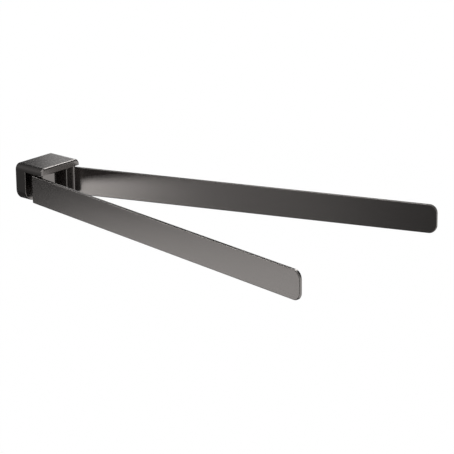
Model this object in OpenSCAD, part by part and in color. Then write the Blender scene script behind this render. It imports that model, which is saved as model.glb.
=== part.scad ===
// Wall mounted towel holder with two flat bars that swing sideways.
// Lengths are in millimetres and angles in degrees. The wall is the plane
// y = 0, the bars reach out along -y, and z is up. The origin is the middle
// of the bracket's back.

/* [Bars] */
// Length of each bar
bar_l = 414; // [300:1:500]
// Height of each bar
bar_h = 30; // [26:1:36]
// Thickness of each bar
bar_t = 3.4; // [3:0.1:4]
// Radius of the two corners at the bar's tip
bar_tip_r = 8.5; // [4:0.5:12]

/* [Bracket] */
// Width of the bracket along the wall
bracket_w = 57; // [54:1:70]
// How far the bracket's top reaches out from the wall
bracket_d = 38; // [37:1:50]
// Radius of the bracket's two top corners, seen from the front
bracket_top_r = 6; // [5.5:0.5:10]
// Radius of the bracket's two bottom corners, seen from the front
bracket_foot_r = 12; // [8:0.5:13]
// Depth of the part that lies on the wall
back_d = 13.5; // [12:0.5:15]
// Thickness of the top that carries the pivots
top_t = 7; // [6:0.5:8]
// Wall left round the hollow in the back
shell_wall = 3; // [2.5:0.5:4]
// Rounding of the top's front edges
edge_r = 2; // [0.5:0.1:2.5]
// Rounding of the wall part's front edges
wall_edge_r = 1; // [0.5:0.1:2]

/* [Pivots] */
// Distance from each pivot to the bracket's side
pivot_inset = 13.8; // [12.5:0.1:14.5]
// Distance from the pivots to the bracket's front
pivot_setback = 9; // [8.5:0.5:11]
// Gap between the top of a bar and the bracket's top above it
hang_gap = 3; // [2.5:0.5:5]
// Width of the knuckle on each bar, across the bar
knuckle_w = 17.2; // [15:0.1:17.6]
// Length of the knuckle, along the bar
knuckle_l = 13.2; // [12:0.1:13.6]
// Rounding of the knuckle's upright edges
knuckle_edge_r = 0.7; // [0.5:0.1:2]
// Radius of the bead that joins the knuckle's front to the bar
bead_r = 1.8; // [1:0.1:3]
// Diameter of the shoulder that a knuckle turns on
shoulder_d = 6; // [5.6:0.1:6.4]
// Outside diameter of the bushes in the knuckle
bush_d = 8; // [7.6:0.1:8.8]
// Length of each bush
bush_l = 8; // [6:0.5:9]
// Diameter of the bolt's thread
thread_d = 5; // [4:0.1:5.4]
// Length of thread held in the bracket's top
thread_l = 4.8; // [4:0.1:5]
// Diameter of the bolt's head
bolt_head_d = 9; // [8.6:0.1:9.6]
// Height of the bolt's head
bolt_head_h = 4; // [3:0.5:5]
// Width across the corners of the bolt's hexagon socket
bolt_socket_d = 4.6; // [3:0.1:5.5]
// Thickness of the cap that closes the knuckle's foot
cap_t = 2; // [1.5:0.1:2.5]
// Diameter of the thrust washer
washer_d = 12; // [10:0.1:13]
// Thickness of the thrust washer
washer_t = 0.5; // [0.4:0.1:0.8]
// Height of the disc spring
spring_h = 0.7; // [0.6:0.1:0.9]
// Thickness of the disc spring's steel
spring_t = 0.3; // [0.2:0.05:0.4]

/* [Wall fixing] */
// Thickness of the mounting plate
plate_t = 6; // [5.5:0.5:7]
// Distance between the two wall screws
screw_spacing = 30; // [20:1:34]
// Diameter of the holes for the wall screws
screw_hole_d = 5.5; // [4:0.1:7]
// Diameter of the lock screw under the bracket
lock_screw_d = 5; // [4:0.1:5]
// Diameter of the lock screw's point
lock_point_d = 2.6; // [2:0.1:3]

/* [Rest position] */
// Angle between the left bar and straight out
left_rest_angle = 7.8; // [0:0.1:45]
// Angle between the right bar and straight out
right_rest_angle = 19.7; // [0:0.1:45]

/* [Hidden] */
$fn = 96;

// Radial gap of a piece that turns on another
run_gap = 0.03;
// Radial gap of a piece pressed into another
press_gap = 0.01;
// Radial gap of a screw thread in its hole
thread_gap = 0.05;
// Gap round the mounting plate in the hollow
plate_gap = 0.2;
// Gap between a bolt's head and the knuckle round it
head_gap = 0.3;
// Gap between a bolt's head and the cap below it
cap_gap = 0.5;
// Spare depth of the bolt's hole above its thread
thread_spare = 0.5;
// Thickness of the lower bush's flange
flange_t = 1;
// Radial gap of a washer on the shoulder
washer_gap = 0.1;
// Depth of the hexagon socket in the bolt's head
bolt_socket_depth = 2.2;
// Width across the corners and depth of the lock screw's socket
lock_socket_d = 2.9;
lock_socket_depth = 1.6;
// How deep the lock screw's mouth lies inside the bracket's underside
lock_recess = 0.3;
// How far the lock screw's point enters the mounting plate
lock_bite = 1.2;
// Spare depth under the lock screw's point
lock_spare = 0.2;
// Cuts pass the surface by this much
overrun = 1;

// Heights
bracket_h = bar_h + hang_gap + top_t;
bottom_z = -bracket_h / 2;
top_z = bracket_h / 2;
under_z = top_z - top_t;
bar_top_z = under_z - hang_gap;
knuckle_top_z = under_z - washer_t - spring_h;
head_z = bottom_z + cap_t + cap_gap;
flange_z = head_z + bolt_head_h;
lower_bush_z = flange_z + flange_t;

// Places seen from above
pivot_x = bracket_w / 2 - pivot_inset;
pivot_d = bracket_d - pivot_setback;
counterbore_d = bolt_head_d + 2 * head_gap;
hollow_d = back_d - shell_wall;

// A rectangle with round corners, centred; its top corners have one radius
// and its bottom corners another
module rounded_rect(w, h, top_r, foot_r) {
  translate([-w / 2, foot_r - h / 2])
    square([w, h - top_r - foot_r]);
  for (end = [[1, top_r], [-1, foot_r]]) {
    translate([0, end[0] * h / 4])
      square([w - 2 * end[1], h / 2], center = true);
    for (x = [-1, 1])
      translate([x * (w / 2 - end[1]), end[0] * (h / 2 - end[1])])
        circle(end[1]);
  }
}

// The rounded front edge along one side of a block, with the block's stuff
// behind it: length l along x, faces at y = 0 and z = 0, radius e
module edge_strip(l, e) {
  rotate([90, 0, 90])
    linear_extrude(l, center = true) {
      translate([-3 * e, -3 * e])
        square([2 * e, 3 * e]);
      translate([-3 * e, -3 * e])
        square([3 * e, 2 * e]);
      translate([-e, -e])
        circle(e, $fn = 32);
    }
}

// A block with round corners whose front edges are rounded too; its back
// lies on z = 0
module soft_block(w, h, d, top_r, foot_r, e) {
  linear_extrude(d - e)
    rounded_rect(w, h, top_r, foot_r);
  linear_extrude(d)
    rounded_rect(w - 2 * e, h - 2 * e, top_r - e, foot_r - e);
  for (end = [[1, top_r], [-1, foot_r]]) {
    translate([0, end[0] * h / 2, d])
      mirror([0, end[0] == 1 ? 0 : 1, 0])
        edge_strip(w - 2 * end[1], e);
    for (x = [-1, 1])
      translate([x * (w / 2 - end[1]), end[0] * (h / 2 - end[1]), d - e])
        rotate_extrude()
          translate([end[1] - e, 0])
            circle(e, $fn = 32);
  }
  for (x = [-1, 1])
    translate([x * w / 2, (foot_r - top_r) / 2, d])
      rotate([0, 0, -90 * x])
        edge_strip(h - top_r - foot_r, e);
}

// The bracket's block, out to depth d, with front edges of radius e
module bracket_block(d, e) {
  rotate([90, 0, 0])
    soft_block(bracket_w, bracket_h, d, bracket_top_r, bracket_foot_r, e);
}

// The bracket's outline seen from the front, drawn in by one distance
module inner_outline(inset) {
  rounded_rect(
    bracket_w - 2 * inset,
    bracket_h - 2 * inset,
    bracket_top_r - inset,
    bracket_foot_r - inset
  );
}

// A washer or sleeve standing on z = 0
module ring(outer_d, inner_d, h) {
  difference() {
    cylinder(h = h, d = outer_d);
    translate([0, 0, -overrun])
      cylinder(h = h + 2 * overrun, d = inner_d);
  }
}

// Moves a left hand piece, drawn round the pivot's axis, to one side's pivot
module at_pivot(side) {
  mirror([side == "right" ? 1 : 0, 0, 0])
    translate([-pivot_x, -pivot_d, 0])
      children();
}

// The same, turned with the bar to its rest position
module at_bar(side) {
  rest_angle = side == "right" ? right_rest_angle : left_rest_angle;
  at_pivot(side)
    rotate([0, 0, -rest_angle])
      children();
}

// Places the two pivots' shared features on the bracket
module at_both_pivots() {
  at_pivot("left")
    children();
  at_pivot("right")
    children();
}

// Cast shell: a part on the wall, hollow behind, and a top that reaches out
// over the bars
module bracket_housing() {
  color("#565250")
  difference() {
    union() {
      bracket_block(back_d, wall_edge_r);
      intersection() {
        bracket_block(bracket_d, edge_r);
        translate([-bracket_w, -bracket_d - overrun, under_z])
          cube([2 * bracket_w, bracket_d + overrun, top_t + overrun]);
      }
    }
    translate([0, overrun, 0])
      rotate([90, 0, 0])
        linear_extrude(hollow_d + overrun)
          inner_outline(shell_wall);
    at_both_pivots()
      translate([0, 0, under_z - overrun])
        cylinder(h = overrun + thread_l + thread_spare, d = thread_d + 2 * thread_gap);
    translate([0, -plate_t / 2, bottom_z - overrun])
      cylinder(h = shell_wall + 2 * overrun, d = lock_screw_d + 2 * thread_gap);
  }
}

// Plate that is screwed to the wall and fills the housing's hollow
module mounting_plate() {
  inset = shell_wall + plate_gap;
  plate_bottom_z = bottom_z + inset;
  color("#a9a8a4")
  difference() {
    rotate([90, 0, 0])
      linear_extrude(plate_t)
        inner_outline(inset);
    for (x = [-1, 1])
      translate([x * screw_spacing / 2, overrun, 0])
        rotate([90, 0, 0])
          cylinder(h = plate_t + 2 * overrun, d = screw_hole_d);
    translate([0, -plate_t / 2, plate_bottom_z - overrun])
      cylinder(
        h = lock_bite + lock_spare + overrun,
        d = lock_point_d + 2 * plate_gap
      );
  }
}

// Headless screw that locks the housing to the mounting plate from below
module lock_screw() {
  body_l = shell_wall - lock_recess;
  color("#8b8a87")
  translate([0, -plate_t / 2, bottom_z + lock_recess])
    difference() {
      union() {
        cylinder(h = body_l, d = lock_screw_d);
        cylinder(h = body_l + plate_gap + lock_bite, d = lock_point_d);
      }
      translate([0, 0, -overrun])
        cylinder(h = lock_socket_depth + overrun, d = lock_socket_d, $fn = 6);
    }
}

// The bar's outline, from its wall end on x = 0 to its round cornered tip
module bar_outline() {
  square([bar_l - bar_tip_r, bar_h]);
  translate([0, bar_tip_r])
    square([bar_l, bar_h - 2 * bar_tip_r]);
  for (y = [bar_tip_r, bar_h - bar_tip_r])
    translate([bar_l - bar_tip_r, y])
      circle(bar_tip_r);
}

// Flat bar, welded to the outer side of its knuckle
module bar(side) {
  color("#6a6764")
  at_bar(side)
    translate([-knuckle_w / 2, knuckle_l / 2, bottom_z])
      rotate([90, 0, -90])
        linear_extrude(bar_t)
          bar_outline();
}

// The knuckle's outline from above, round the pivot: its edges away from the
// bar are rounded, and a hollow bead joins its front to the bar
module knuckle_outline() {
  half_w = knuckle_w / 2;
  half_l = knuckle_l / 2;
  translate([-half_w, -half_l])
    square([knuckle_w - knuckle_edge_r, knuckle_l]);
  translate([-half_w, -half_l + knuckle_edge_r])
    square([knuckle_w, knuckle_l - 2 * knuckle_edge_r]);
  for (y = [-1, 1])
    translate([half_w - knuckle_edge_r, y * (half_l - knuckle_edge_r)])
      circle(knuckle_edge_r);
  difference() {
    translate([-half_w, -half_l - bead_r])
      square([bead_r, bead_r]);
    translate([-half_w + bead_r, -half_l - bead_r])
      circle(bead_r);
  }
}

// Upright block that turns on the bolt's shoulder and carries the bar
module knuckle(side) {
  knuckle_h = knuckle_top_z - bottom_z;
  color("#565250")
  at_bar(side)
    difference() {
      translate([0, 0, bottom_z])
        linear_extrude(knuckle_h)
          knuckle_outline();
      translate([0, 0, bottom_z - overrun])
        cylinder(h = knuckle_h + 2 * overrun, d = bush_d + 2 * press_gap);
      translate([0, 0, bottom_z - overrun])
        cylinder(h = lower_bush_z - bottom_z + overrun, d = counterbore_d);
    }
}

// Plain sleeve at the knuckle's upper end
module upper_bush(side) {
  color("#2b2a29")
  at_bar(side)
    translate([0, 0, knuckle_top_z - bush_l])
      ring(bush_d, shoulder_d + 2 * run_gap, bush_l);
}

// Sleeve with a flange that rests on the bolt's head
module lower_bush(side) {
  color("#2b2a29")
  at_bar(side)
    difference() {
      union() {
        translate([0, 0, lower_bush_z])
          cylinder(h = bush_l, d = bush_d);
        translate([0, 0, flange_z])
          cylinder(h = flange_t, d = counterbore_d - 2 * press_gap);
      }
      translate([0, 0, flange_z - overrun])
        cylinder(h = bush_l + flange_t + 2 * overrun, d = shoulder_d + 2 * run_gap);
    }
}

// Disc pressed into the knuckle's foot, under the bolt's head
module end_cap(side) {
  color("#565250")
  at_bar(side)
    translate([0, 0, bottom_z])
      cylinder(h = cap_t, d = counterbore_d - 2 * press_gap);
}

// Shoulder bolt that goes up through the knuckle into the bracket's top
module pivot_bolt(side) {
  color("#8b8a87")
  at_pivot(side)
    translate([0, 0, head_z])
      difference() {
        union() {
          cylinder(h = bolt_head_h, d = bolt_head_d);
          cylinder(h = under_z - head_z, d = shoulder_d);
          cylinder(h = under_z - head_z + thread_l, d = thread_d);
        }
        translate([0, 0, -overrun])
          cylinder(h = bolt_socket_depth + overrun, d = bolt_socket_d, $fn = 6);
      }
}

// Steel washer under the bracket's top
module thrust_washer(side) {
  color("#8b8a87")
  at_pivot(side)
    translate([0, 0, under_z - washer_t])
      ring(washer_d, shoulder_d + 2 * washer_gap, washer_t);
}

// Coned spring washer that presses on the knuckle, so that the bar stays put
module disc_spring(side) {
  inner_r = shoulder_d / 2 + washer_gap;
  outer_r = washer_d / 2 - washer_gap;
  color("#77756f")
  at_pivot(side)
    translate([0, 0, knuckle_top_z])
      rotate_extrude()
        polygon([
          [inner_r, spring_h - spring_t],
          [inner_r, spring_h],
          [outer_r, spring_t],
          [outer_r, 0]
        ]);
}

bracket_housing();
mounting_plate();
lock_screw();
bar("left");  // left_bar
knuckle("left");  // left_knuckle
upper_bush("left");  // left_upper_bush
lower_bush("left");  // left_lower_bush
end_cap("left");  // left_end_cap
pivot_bolt("left");  // left_pivot_bolt
thrust_washer("left");  // left_thrust_washer
disc_spring("left");  // left_disc_spring
bar("right");  // right_bar
knuckle("right");  // right_knuckle
upper_bush("right");  // right_upper_bush
lower_bush("right");  // right_lower_bush
end_cap("right");  // right_end_cap
pivot_bolt("right");  // right_pivot_bolt
thrust_washer("right");  // right_thrust_washer
disc_spring("right");  // right_disc_spring
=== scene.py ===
import math

import bpy
import numpy as np
from mathutils import Matrix


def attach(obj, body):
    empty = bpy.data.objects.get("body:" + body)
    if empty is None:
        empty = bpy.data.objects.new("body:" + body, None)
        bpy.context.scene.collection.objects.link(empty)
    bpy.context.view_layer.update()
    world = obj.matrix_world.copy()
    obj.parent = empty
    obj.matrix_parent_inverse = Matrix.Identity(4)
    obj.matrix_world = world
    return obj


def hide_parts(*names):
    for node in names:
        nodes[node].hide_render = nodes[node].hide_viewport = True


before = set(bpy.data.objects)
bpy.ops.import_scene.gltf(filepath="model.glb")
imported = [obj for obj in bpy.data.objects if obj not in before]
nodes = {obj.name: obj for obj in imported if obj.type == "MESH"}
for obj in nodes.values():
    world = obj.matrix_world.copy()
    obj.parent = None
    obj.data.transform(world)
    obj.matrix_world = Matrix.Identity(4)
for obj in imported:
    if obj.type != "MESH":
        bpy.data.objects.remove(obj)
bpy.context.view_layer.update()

# Bracket housing: a die cast shell, ground and plated dark gunmetal all over.
# It hangs over the mounting plate and carries both pivots under its top.


class Wire:
    """One output of a shader tree. Arithmetic on it adds a Math node."""

    def __init__(self, tree, socket):
        self.tree = tree
        self.socket = socket

    def maths(self, operation, *others, clamp=False):
        made = self.tree.nodes.new("ShaderNodeMath")
        made.operation = operation
        made.use_clamp = clamp
        for place, term in zip(made.inputs, (self, *others)):
            if isinstance(term, Wire):
                self.tree.links.new(term.socket, place)
            else:
                place.default_value = term
        return Wire(self.tree, made.outputs[0])

    def __add__(self, other):
        return self.maths("ADD", other)

    def __sub__(self, other):
        return self.maths("SUBTRACT", other)

    def __mul__(self, other):
        return self.maths("MULTIPLY", other)

    def spread(self):
        """Widens a soft pattern about its middle until it fills 0 to 1."""
        return self.maths("MULTIPLY_ADD", 1.6, -0.3, clamp=True)


class Finish:
    """A material with an empty shader tree, filled by add()."""

    def __init__(self, name):
        self.material = bpy.data.materials.new(name)
        self.material.use_nodes = True
        self.tree = self.material.node_tree
        self.tree.nodes.clear()

    def add(self, kind, output=0, settings=(), **sockets):
        """Adds a node of that kind, sets its settings, sets or links its
        sockets, and returns one of its outputs."""
        made = self.tree.nodes.new("ShaderNode" + kind)
        for key, value in dict(settings).items():
            setattr(made, key, value)
        for key, value in sockets.items():
            called = key.replace("_", " ")
            place = next(i for i in made.inputs if i.name == called and i.enabled)
            if isinstance(value, Wire):
                self.tree.links.new(value.socket, place)
            else:
                place.default_value = value
        return Wire(self.tree, made.outputs[output]) if made.outputs else None

    def spots(self, where, scale, detail=2.0):
        """Soft random spots from 0 to 1, so many to the metre."""
        return self.add("TexNoise", Vector=where, Scale=scale, Detail=detail)

    def shaded(self, colour, span, share):
        """The colour times a factor: the first of span where share is 0, the
        second where it is 1."""
        darkest, lightest = (tuple(end * c for c in colour) + (1.0,) for end in span)
        return self.add(
            "Mix",
            output=2,
            settings={"data_type": "RGBA"},
            Factor=share,
            A=darkest,
            B=lightest,
        )

    def close(self, shader):
        self.add("OutputMaterial", Surface=shader)
        return self.material


GUNMETAL = (0.226, 0.212, 0.204)
PLATING_SPAN = (0.94, 1.05)


def plated(name, roughness, grain):
    """Dark plating over ground metal: the plating's tone drifts a little, the
    ground surface under it shows as fine pits, and handling leaves duller spots."""
    finish = Finish(name)
    where = finish.add("TexCoord", output=3)
    drift = finish.spots(where, 35.0)
    pits = finish.spots(where, grain, detail=4.0)
    shader = finish.add(
        "BsdfPrincipled",
        Base_Color=finish.shaded(GUNMETAL, PLATING_SPAN, drift.spread()),
        Metallic=1.0,
        Roughness=(drift - 0.5) * 0.05 + (pits - 0.5) * 0.03 + roughness,
        Normal=finish.add("Bump", Height=pits, Strength=0.02, Distance=0.0001),
    )
    return finish.close(shader)


def dress(names, material):
    for name in names:
        for place in nodes[name].material_slots:
            place.material = material


dress(["bracket_housing"], plated("housing_plating", 0.22, 2600.0))

# Bars: strips of stainless steel cut from flat stock with two round corners
# at the tip, all edges broken, brushed lengthways and plated like the bracket.


def soft_plate(outline, normals, thickness, rounding, steps=6):
    """A plate with soft edges, as rings of points (ring, point, xyz). Ring by
    ring the outline shrinks by rounding * (1 - cos a) and lies at height
    h = +-(thickness / 2 - rounding + rounding * sin a), a from 0 to 90 degrees."""
    angle = np.linspace(0.0, math.pi / 2, steps + 1)
    side = np.concatenate([-np.ones(steps + 1), np.ones(steps + 1)])
    angle = np.concatenate([angle[::-1], angle])
    shrink = rounding * (1.0 - np.cos(angle))
    height = side * (thickness / 2 - rounding + rounding * np.sin(angle))
    flat = outline[None] - normals[None] * shrink[:, None, None]
    lean = normals[None] * np.cos(angle)[:, None, None]
    layer = flat.shape[:2] + (1,)
    lift = np.broadcast_to(height[:, None, None], layer)
    rise = np.broadcast_to((side * np.sin(angle))[:, None, None], layer)
    return np.concatenate([flat, lift], 2), np.concatenate([lean, rise], 2)


def bar_outline(length, height, tip, end):
    """The bar's side view, anticlockwise: a rectangle whose corners are quarter
    circles, of radius tip at its far end and of radius end at the bracket."""
    corners = [
        (length - tip, tip, tip, -90),
        (length - tip, height - tip, tip, 0),
        (end, height - end, end, 90),
        (end, end, end, 180),
    ]
    points = []
    normals = []
    for x, z, radius, start in corners:
        turn = np.radians(np.linspace(start, start + 90, 25))
        out = np.stack([np.cos(turn), np.sin(turn)], 1)
        points.append(np.array([x, z]) + radius * out)
        normals.append(out)
    return np.concatenate(points), np.concatenate(normals)


def make_piece(name, points, facing, faces, measure):
    """A mesh from its points, its unit normals, its faces and, for every point,
    the two lengths in metres that its patterns follow."""
    mesh = bpy.data.meshes.new(name)
    mesh.from_pydata(points.tolist(), [], faces)
    layer = mesh.uv_layers.new(name="lengths")
    corner = np.empty(len(mesh.loops), dtype=np.int32)
    mesh.loops.foreach_get("vertex_index", corner)
    layer.data.foreach_set("uv", measure[corner].astype(np.float32).ravel())
    mesh.polygons.foreach_set("use_smooth", np.ones(len(mesh.polygons), dtype=bool))
    mesh.normals_split_custom_set_from_vertices(facing.tolist())
    piece = bpy.data.objects.new(name, mesh)
    bpy.context.scene.collection.objects.link(piece)
    return piece


def brushed(name, roughness):
    """Plated steel brushed lengthways: fine lines along the bar shift its gloss
    and its slope a little, and the plating's tone drifts in long soft streaks."""
    finish = Finish(name)
    lengths = finish.add("UVMap", settings={"uv_map": "lengths"})
    lines_at = finish.add("Mapping", Vector=lengths, Scale=(14.0, 2400.0, 1.0))
    lines = finish.spots(lines_at, 1.0, detail=3.0)
    drift_at = finish.add("Mapping", Vector=lengths, Scale=(9.0, 60.0, 1.0))
    drift = finish.spots(drift_at, 1.0)
    streaks = (drift * 0.7 + lines * 0.3).spread()
    shader = finish.add(
        "BsdfPrincipled",
        Base_Color=finish.shaded(GUNMETAL, PLATING_SPAN, streaks),
        Metallic=1.0,
        Roughness=(lines - 0.5) * 0.05 + (drift - 0.5) * 0.03 + roughness,
        Normal=finish.add("Bump", Height=lines, Strength=0.015, Distance=0.0001),
    )
    return finish.close(shader)


bar_length, bar_height, bar_thickness = 0.414, 0.030, 0.0034
tip_radius, wall_end_radius, broken_edge = 0.0085, 0.0016, 0.0008
outline, out = bar_outline(bar_length, bar_height, tip_radius, wall_end_radius)
rings, facing = soft_plate(outline, out, bar_thickness, broken_edge)

# One band of faces joins each ring to the next, and one face closes each side.
ring_count, count = rings.shape[:2]
lap = np.arange(count)
first_ring = np.arange(ring_count - 1)[:, None] * count
here = first_ring + lap
beside = first_ring + np.roll(lap, -1)
band = np.stack([here, beside, beside + count, here + count], 2).reshape(-1, 4)
last_ring = (ring_count - 1) * count
left_faces = band.tolist() + [lap[::-1].tolist(), (lap + last_ring).tolist()]
right_faces = [face[::-1] for face in left_faces]

# The bar lies along -y on the outer side of its knuckle, then turns with it
# about the pivot. The right bar is the left one's mirror image.
beside_pivot, behind_pivot, lower_edge = 0.0103, 0.0066, -0.020
pivot = np.array([-0.0147, -0.029, 0.0])
bar_finish = brushed("bar_plating", 0.22)
bar_strips = []
along, up, through = np.moveaxis(rings, 2, 0)
face_along, face_up, face_through = np.moveaxis(facing, 2, 0)
flat = [-beside_pivot - through, behind_pivot - along, lower_edge + up]
lean = [-face_through, -face_along, face_up]
measure = np.stack([along, up], 2).reshape(-1, 2)
for name, faces, mirror, turn in (
    ("left", left_faces, 1.0, math.radians(-7.8)),
    ("right", right_faces, -1.0, math.radians(-19.7)),
):
    c, s = math.cos(turn), math.sin(turn)
    turned = np.array([[c, -s, 0.0], [s, c, 0.0], [0.0, 0.0, 1.0]])
    sided = np.array([mirror, 1.0, 1.0])
    spot = (np.stack(flat, 2).reshape(-1, 3) @ turned.T + pivot) * sided
    slope = (np.stack(lean, 2).reshape(-1, 3) @ turned.T) * sided
    bar = make_piece(name + "_bar_strip", spot, slope, faces, measure)
    bar.data.materials.append(bar_finish)
    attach(bar, name + "_arm")
    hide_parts(name + "_bar")
    bar_strips.append(bar)

# Knuckles and their caps: blocks milled from bar, welded to the bars with a
# small bead and plated with them; a cap pressed in from below closes each.


def both(*pieces):
    """The names of those pieces on the left arm and on the right one."""
    return [side + "_" + piece for side in ("left", "right") for piece in pieces]


dress(both("knuckle", "end_cap"), plated("knuckle_plating", 0.24, 3200.0))

# Fixing steel: mounting plate, lock screw, shoulder bolts, thrust washers and
# disc springs, all of plain steel with a thin zinc coat.


def zinc_coated(name, colour, roughness):
    """Bright zinc on steel: small crystals change its gloss from spot to spot."""
    finish = Finish(name)
    where = finish.add("TexCoord", output=3)
    crystals = finish.add("TexVoronoi", output=0, Vector=where, Scale=900.0)
    drift = finish.spots(where, 120.0)
    shader = finish.add(
        "BsdfPrincipled",
        Base_Color=finish.shaded(colour, (0.88, 1.08), drift),
        Metallic=1.0,
        Roughness=(crystals - 0.4) * 0.12 + roughness,
    )
    return finish.close(shader)


dress(
    ["mounting_plate", "lock_screw", *both("pivot_bolt", "thrust_washer", "disc_spring")],
    zinc_coated("zinc_coat", (0.50, 0.49, 0.47), 0.34),
)

# Bushes: black moulded plastic sleeves that run on the bolts' shoulders, an
# upper and a lower one pressed into each knuckle.


def moulded(name, colour, roughness):
    """Matt moulded plastic with a fine even texture."""
    finish = Finish(name)
    where = finish.add("TexCoord", output=3)
    texture = finish.spots(where, 2500.0)
    shader = finish.add(
        "BsdfPrincipled",
        Base_Color=colour + (1.0,),
        Roughness=(texture - 0.5) * 0.1 + roughness,
        Normal=finish.add("Bump", Height=texture, Strength=0.15, Distance=0.0001),
    )
    return finish.close(shader)


dress(
    both("upper_bush", "lower_bush"),
    moulded("bush_plastic", (0.03, 0.03, 0.032), 0.55),
)

# Studio: a white ground, dark curtains round most of it and soft lamps, each
# placed where one face or edge of the metal mirrors it.


def quads(name, corners, material):
    """One stage mesh from rectangles of four corners each."""
    mesh = bpy.data.meshes.new(name)
    places = [corner for rectangle in corners for corner in rectangle]
    faces = [tuple(range(4 * k, 4 * k + 4)) for k in range(len(corners))]
    mesh.from_pydata(places, [], faces)
    mesh.materials.append(material)
    made = bpy.data.objects.new(name, mesh)
    bpy.context.scene.collection.objects.link(made)
    return made


def level(near, far, z):
    """A level rectangle between two opposite corners (x, y)."""
    (x0, y0), (x1, y1) = near, far
    return [(x0, y0, z), (x1, y0, z), (x1, y1, z), (x0, y1, z)]


def hanging(start, end, foot, top):
    """An upright rectangle over the line between two places (x, y)."""
    return [(*start, foot), (*end, foot), (*end, top), (*start, top)]


def open_view(tree):
    """1 for the rays that show the ground: camera, glossy and transmission rays."""
    ray = tree.nodes.new("ShaderNodeLightPath")
    seen, mirrored, through = (
        Wire(tree, ray.outputs["Is " + kind + " Ray"])
        for kind in ("Camera", "Glossy", "Transmission")
    )
    return seen.maths("MAXIMUM", mirrored).maths("MAXIMUM", through)


floor_height, floor_reach = -0.7, 4.0
paint = Finish("floor_paint")
matt = paint.add("BsdfDiffuse", Color=(0.8, 0.8, 0.8, 1.0))
glow = paint.add("Emission", Color=(1.0, 1.0, 1.0, 1.0), Strength=1.06)
ground = paint.tree.nodes.new("ShaderNodeMixShader")
for wire, socket in zip((open_view(paint.tree) * 0.94, matt, glow), ground.inputs):
    paint.tree.links.new(wire.socket, socket)
quads(
    "floor",
    [level((-floor_reach, -floor_reach), (floor_reach, floor_reach), floor_height)],
    paint.close(Wire(paint.tree, ground.outputs[0])),
)

# The curtains hang where the photographed metal is dark: to the left, behind
# and to the right, lighter to the left and further up. The camera looks past
# them. The front between the two openings and the space above stay white.
cloth = Finish("curtain_cloth")
where = cloth.add("TexCoord", output=3)
leftward = cloth.add("SeparateXYZ", output=0, Vector=where).maths(
    "MULTIPLY_ADD", -0.3, 0.5, clamp=True
)
upward = cloth.add("SeparateXYZ", output=2, Vector=where).maths(
    "MULTIPLY_ADD", 0.5, 0.4, clamp=True
)
tone = leftward * upward * 0.2 + 0.06
wall, top, foot, raised_foot = 2.2, 2.2, -0.69, 0.0
left_opening, right_opening = -0.95, 1.0
cloth_front, roof_inner = -0.5, 0.9
curtains = quads(
    "curtains",
    [
        hanging((-wall, -wall), (-wall, wall), foot, top),
        hanging((-wall, wall), (wall, wall), foot, top),
        hanging((wall, wall), (wall, cloth_front), foot, top),
        hanging((wall, cloth_front), (wall, -wall), raised_foot, top),
        hanging((wall, -wall), (right_opening, -wall), raised_foot, top),
        hanging((left_opening, -wall), (-wall, -wall), foot, top),
        level((-wall, roof_inner), (wall, wall), top),
        level((roof_inner, -wall), (wall, roof_inner), top),
        level((-wall, cloth_front), (wall, wall), foot),
        level((-wall, -wall), (left_opening, cloth_front), foot),
    ],
    cloth.close(cloth.add("Emission", Color=(1.0, 1.0, 1.0, 1.0), Strength=tone)),
)
curtains.visible_camera = False
curtains.visible_transmission = False

world = bpy.data.worlds.new("studio_room")
bpy.context.scene.world = world
world.use_nodes = True
room = world.node_tree
room.nodes.clear()
shade = room.nodes.new("ShaderNodeBackground")
shade.inputs["Color"].default_value = (1.0, 1.0, 1.0, 1.0)
bright = open_view(room).maths("MAXIMUM", 0.09)
room.links.new(bright.socket, shade.inputs["Strength"])
end = room.nodes.new("ShaderNodeOutputWorld")
room.links.new(shade.outputs[0], end.inputs["Surface"])


def only(name, pieces):
    """A collection of those pieces, for a lamp that lights nothing else."""
    group = bpy.data.collections.new(name)
    for piece in pieces:
        group.objects.link(piece)
    return group


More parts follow.
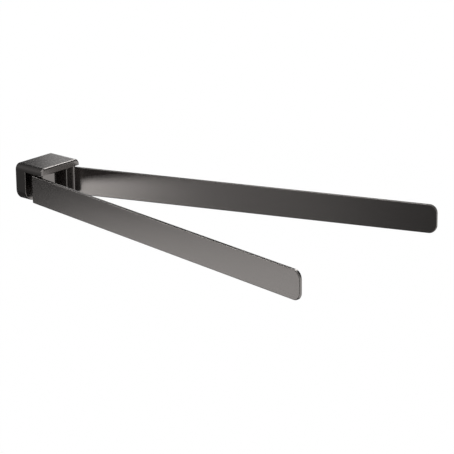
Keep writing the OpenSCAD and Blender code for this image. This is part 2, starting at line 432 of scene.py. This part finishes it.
def softbox(name, place, width, height, glow, lit=None):
    """A rectangular lamp that faces the bars' middle. Its power comes from
    its glow, the brightness its face has in a mirror: pi * area * glow. It
    lights the whole object, or the pieces of one collection."""
    lamp = bpy.data.lights.new(name, "AREA")
    lamp.shape = "RECTANGLE"
    lamp.size = width
    lamp.size_y = height
    lamp.energy = math.pi * width * height * glow
    box = bpy.data.objects.new(name, lamp)
    bars_middle = np.array((0.0, -0.12, 0.0))
    back = np.array(place) - bars_middle
    back /= np.linalg.norm(back)
    right = np.cross((0.0, 0.0, 1.0), back)
    right /= np.linalg.norm(right)
    turn = np.eye(4)
    turn[:3, :3] = np.stack([right, np.cross(back, right), back], 1)
    turn[:3, 3] = place
    box.matrix_world = Matrix(turn.tolist())
    bpy.context.scene.collection.objects.link(box)
    if lit:
        box.light_linking.receiver_collection = lit


# Three lamps are for the bars alone, so that they don't show in the bracket's
# side, and a weak one lights that side.
bars = only("bars", bar_strips)
housing = only("housing", [nodes["bracket_housing"]])
softbox("left_softbox", (-1.658, 0.386, -0.519), 0.698, 0.324, 2.38, bars)
softbox("low_softbox", (-0.837, 0.653, -0.492), 0.909, 0.197, 1.29, bars)
softbox("back_softbox", (-0.95, 0.95, 0.33), 0.6, 0.3, 5.5, bars)
softbox("side_softbox", (-0.79, 0.83, -0.32), 1.0, 0.6, 0.045, housing)
softbox("high_softbox", (1.133, 1.077, 0.123), 0.132, 0.818, 0.95)
softbox("far_softbox", (-1.664, -0.213, -0.725), 0.335, 0.409, 0.51)
softbox("edge_softbox", (0.935, 0.277, 1.01), 0.8, 0.32, 6.0)

# Camera: at the photograph's viewing angle, level to within a degree.
lens = bpy.data.cameras.new("camera")
lens.sensor_width = 36.0
lens.lens = 176.248
lens.clip_end = 50.0
camera = bpy.data.objects.new("camera", lens)
camera.matrix_world = Matrix(
    (
        (0.659092, 0.239449, -0.712925, -1.565756),
        (-0.752003, 0.197932, -0.628741, -1.651726),
        (-0.009441, 0.950520, 0.310521, 0.680974),
        (0.0, 0.0, 0.0, 1.0),
    )
)
bpy.context.scene.collection.objects.link(camera)
bpy.context.scene.camera = camera
bpy.context.scene.view_settings.view_transform = "Standard"
